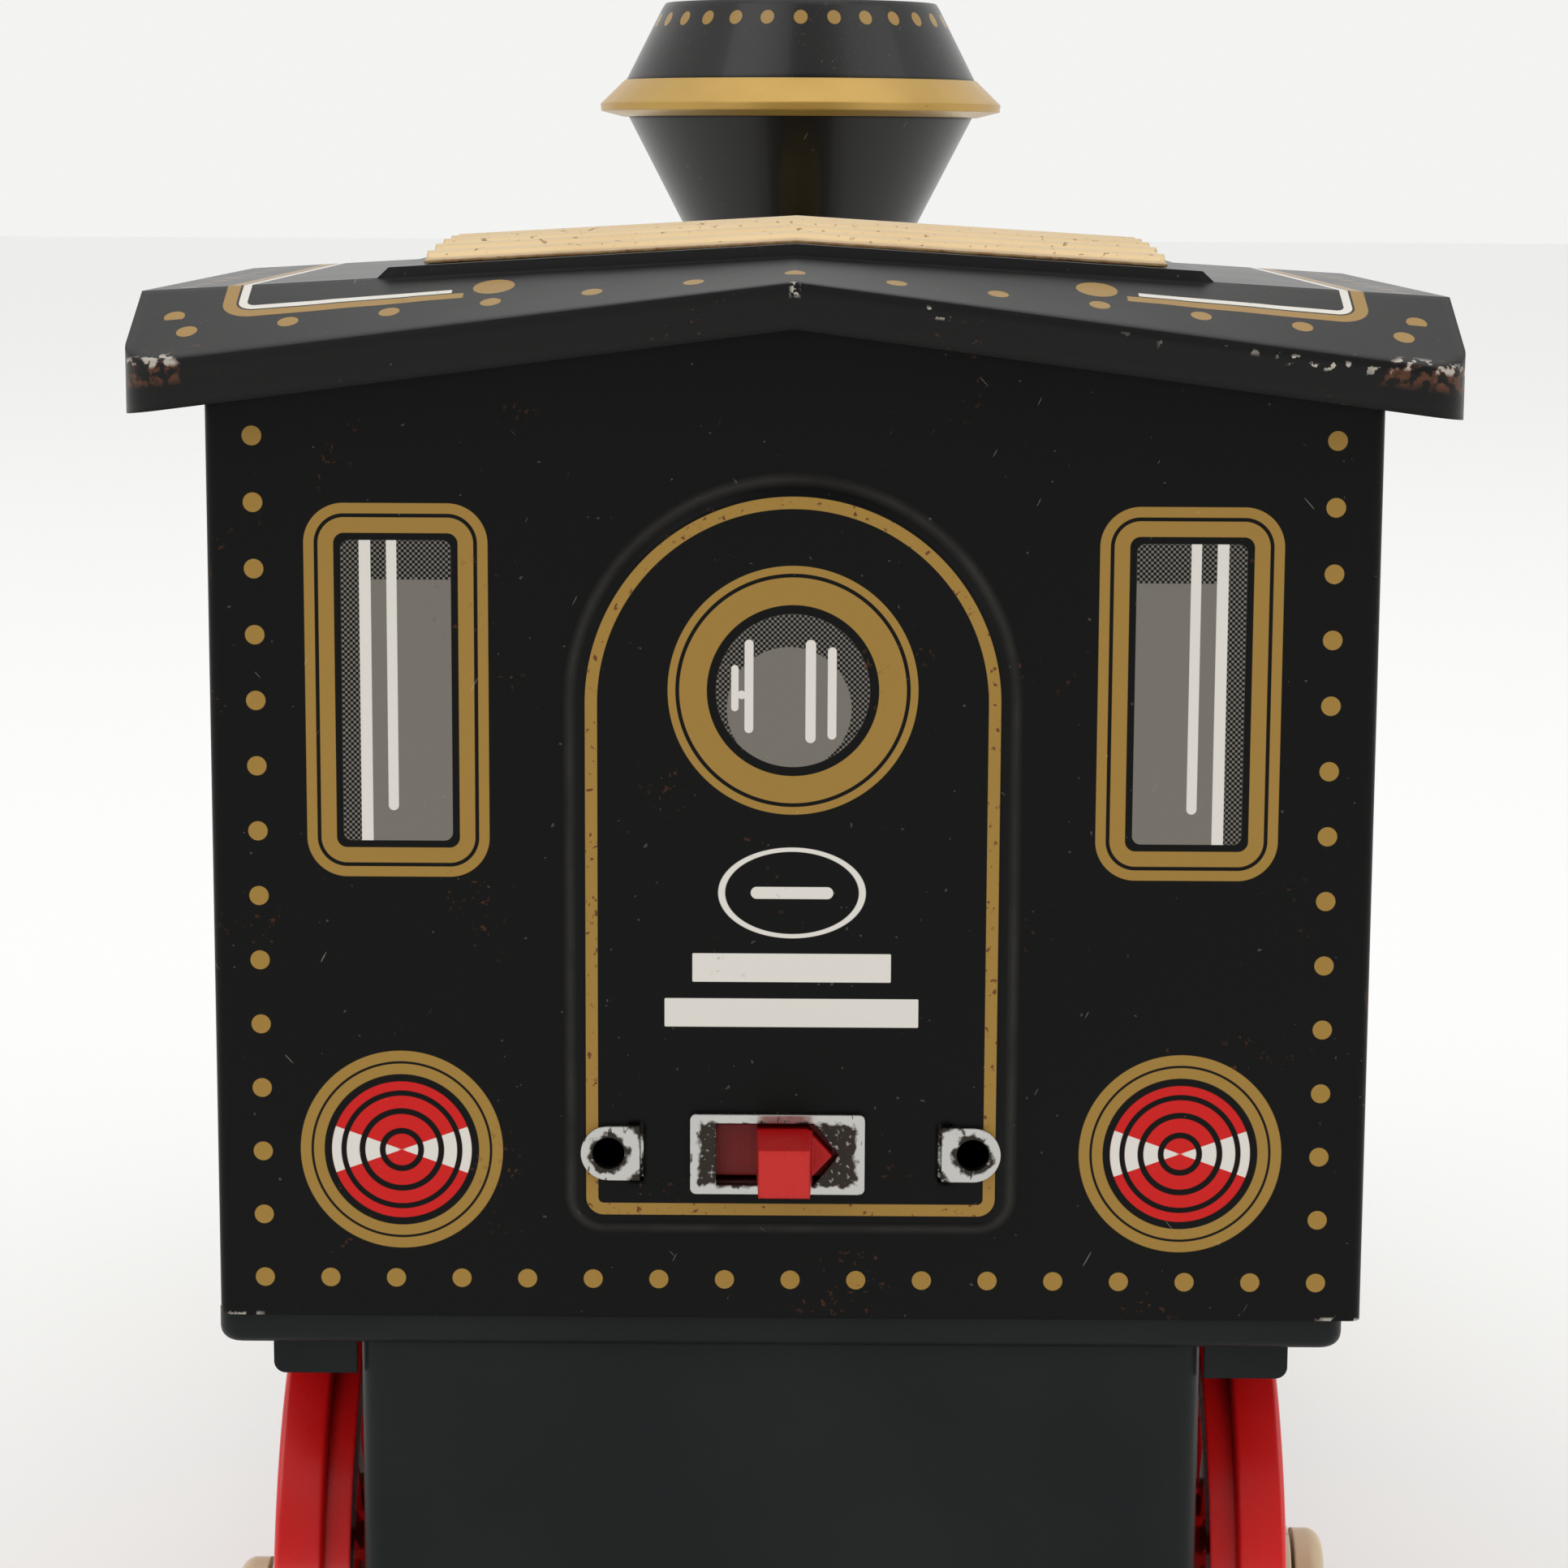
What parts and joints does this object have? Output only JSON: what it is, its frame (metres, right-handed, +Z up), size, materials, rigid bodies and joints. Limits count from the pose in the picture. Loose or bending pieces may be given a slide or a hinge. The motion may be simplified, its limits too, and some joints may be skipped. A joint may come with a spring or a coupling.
{
  "type": "toy train locomotive",
  "caption": "Printed-tin toy steam locomotive with cab, boiler, diamond chimney, cowcatcher, spoked wheels with side rods, geared motor, battery box and slide switch.",
  "frame": {"origin": "on the ground under the middle of the whole toy", "axes": "+Z up, -Y towards the pilot at the front, +Y out of the cab's back wall, X along the axles"},
  "size_m": [0.108, 0.3082, 0.176],
  "materials": {
    "black_tin": "gloss lithographed tin",
    "gold_tin": "gloss gold ink on tin",
    "brown_tin": "gloss brown ink on tin",
    "cream_tin": "gloss cream ink on tin",
    "red_plastic": "moulded",
    "knob_plastic": "moulded",
    "grey_plastic": "satin moulded",
    "chrome_plate": "worn plating",
    "bright_steel": "zinc plated",
    "gear_plastic": "nylon",
    "brass": "polished",
    "cell_jacket": "printed jacket",
    "lens": "clear moulded"
  },
  "bodies": {
    "loco": {"cab_shell": "black_tin", "cab_roof": "black_tin", "roof_vent": "gold_tin", "switch_bezel": "chrome_plate", "switch_housing": "grey_plastic", "lug_strap": "chrome_plate", "boiler_shell": "black_tin", "smokebox": "black_tin", "smokebox_door": "black_tin", "stack_base": "black_tin", "stack_ring": "gold_tin", "stack_top": "black_tin", "stack_screen": "grey_plastic", "bell_yoke": "gold_tin", "headlamp_bracket": "black_tin", "headlamp_body": "red_plastic", "headlamp_lens": "lens", "headlamp_bulb": "lens", "steam_dome": "gold_tin", "sand_dome": "gold_tin", "handrails": "bright_steel", "battery_box": "grey_plastic", "lid_pin": "bright_steel", "battery_contacts": "bright_steel", "battery_cells": "cell_jacket", "frame_channel": "bright_steel", "pilot_beam": "brown_tin", "pilot": "brown_tin", "cab_pan": "grey_plastic", "running_board": "black_tin", "fenders": "grey_plastic", "truck_pivot": "bright_steel", "cylinder_saddle": "black_tin", "cylinders": "cream_tin", "saddle_screws": "bright_steel", "gearbox_plates": "bright_steel", "motor_can": "bright_steel", "axle_studs": "bright_steel"},
    "driven_set": {"driven_axle": "bright_steel", "axle_gear": "gear_plastic", "driven_wheel_left": "red_plastic", "driven_wheel_right": "red_plastic", "driven_pins": "bright_steel"},
    "trailing_left": {"trailing_wheel_left": "red_plastic", "trailing_pin_left": "bright_steel"},
    "trailing_right": {"trailing_wheel_right": "red_plastic", "trailing_pin_right": "bright_steel"},
    "rod_left": {"side_rod_left": "bright_steel"},
    "rod_right": {"side_rod_right": "bright_steel"},
    "idler": {"idler_gear": "gear_plastic"},
    "motor_rotor": {"motor_shaft": "bright_steel", "motor_pinion": "brass"},
    "truck": {"truck_frame": "black_tin"},
    "truck_front_set": {"truck_axle_front": "bright_steel", "truck_wheels_front": "red_plastic"},
    "truck_rear_set": {"truck_axle_rear": "bright_steel", "truck_wheels_rear": "red_plastic"},
    "lid": {"battery_lid": "grey_plastic"},
    "switch": {"switch_slider": "knob_plastic"},
    "bell_swinging": {"bell": "brass"}
  },
  "joints": [
    {"name": "drive_turn", "type": "hinge", "parent": "loco", "child": "driven_set", "pos_m": [0.0008, 0.048, 0.027], "axis": [1, 0, 0], "continuous": true},
    {"name": "trailing_left_turn", "type": "hinge", "parent": "loco", "child": "trailing_left", "pos_m": [-0.0415, 0.11, 0.027], "axis": [1, 0, 0], "continuous": true},
    {"name": "trailing_right_turn", "type": "hinge", "parent": "loco", "child": "trailing_right", "pos_m": [0.0431, 0.11, 0.027], "axis": [1, 0, 0], "continuous": true},
    {"name": "rod_left_turn", "type": "hinge", "parent": "driven_set", "child": "rod_left", "pos_m": [-0.0466, 0.0374, 0.02137], "axis": [1, 0, 0], "continuous": true},
    {"name": "rod_right_turn", "type": "hinge", "parent": "driven_set", "child": "rod_right", "pos_m": [0.0482, 0.03951, 0.01851], "axis": [1, 0, 0], "continuous": true},
    {"name": "idler_turn", "type": "hinge", "parent": "loco", "child": "idler", "pos_m": [0.0218, 0.03495, 0.04005], "axis": [1, 0, 0], "continuous": true},
    {"name": "motor_turn", "type": "hinge", "parent": "loco", "child": "motor_rotor", "pos_m": [0.0008, 0.02045, 0.04476], "axis": [1, 0, 0], "continuous": true},
    {"name": "truck_swivel", "type": "hinge", "parent": "loco", "child": "truck", "pos_m": [0.0008, -0.048, 0.0266], "axis": [0, 0, 1], "range_deg": [-10, 10]},
    {"name": "truck_front_turn", "type": "hinge", "parent": "truck", "child": "truck_front_set", "pos_m": [0.0008, -0.066, 0.012], "axis": [1, 0, 0], "continuous": true},
    {"name": "truck_rear_turn", "type": "hinge", "parent": "truck", "child": "truck_rear_set", "pos_m": [0.0008, -0.03, 0.012], "axis": [1, 0, 0], "continuous": true},
    {"name": "lid_swing", "type": "hinge", "parent": "loco", "child": "lid", "pos_m": [0.0008, 0.0734, 0.0162], "axis": [-1, 0, 0], "range_deg": [0, 95]},
    {"name": "switch_slide", "type": "slide", "parent": "loco", "child": "switch", "axis": [1, 0, 0], "range_m": [0, 0.0032]},
    {"name": "bell_swing", "type": "hinge", "parent": "loco", "child": "bell_swinging", "pos_m": [0, 0.014, 0.1317], "axis": [1, 0, 0], "range_deg": [-30, 30]}
  ],
  "couplings": [
    {"joint": "trailing_left_turn", "follows": "drive_turn", "ratio": 1},
    {"joint": "trailing_right_turn", "follows": "drive_turn", "ratio": 1},
    {"joint": "rod_left_turn", "follows": "drive_turn", "ratio": -1},
    {"joint": "rod_right_turn", "follows": "drive_turn", "ratio": -1},
    {"joint": "idler_turn", "follows": "drive_turn", "ratio": -3.6},
    {"joint": "motor_turn", "follows": "drive_turn", "ratio": 10.08}
  ]
}
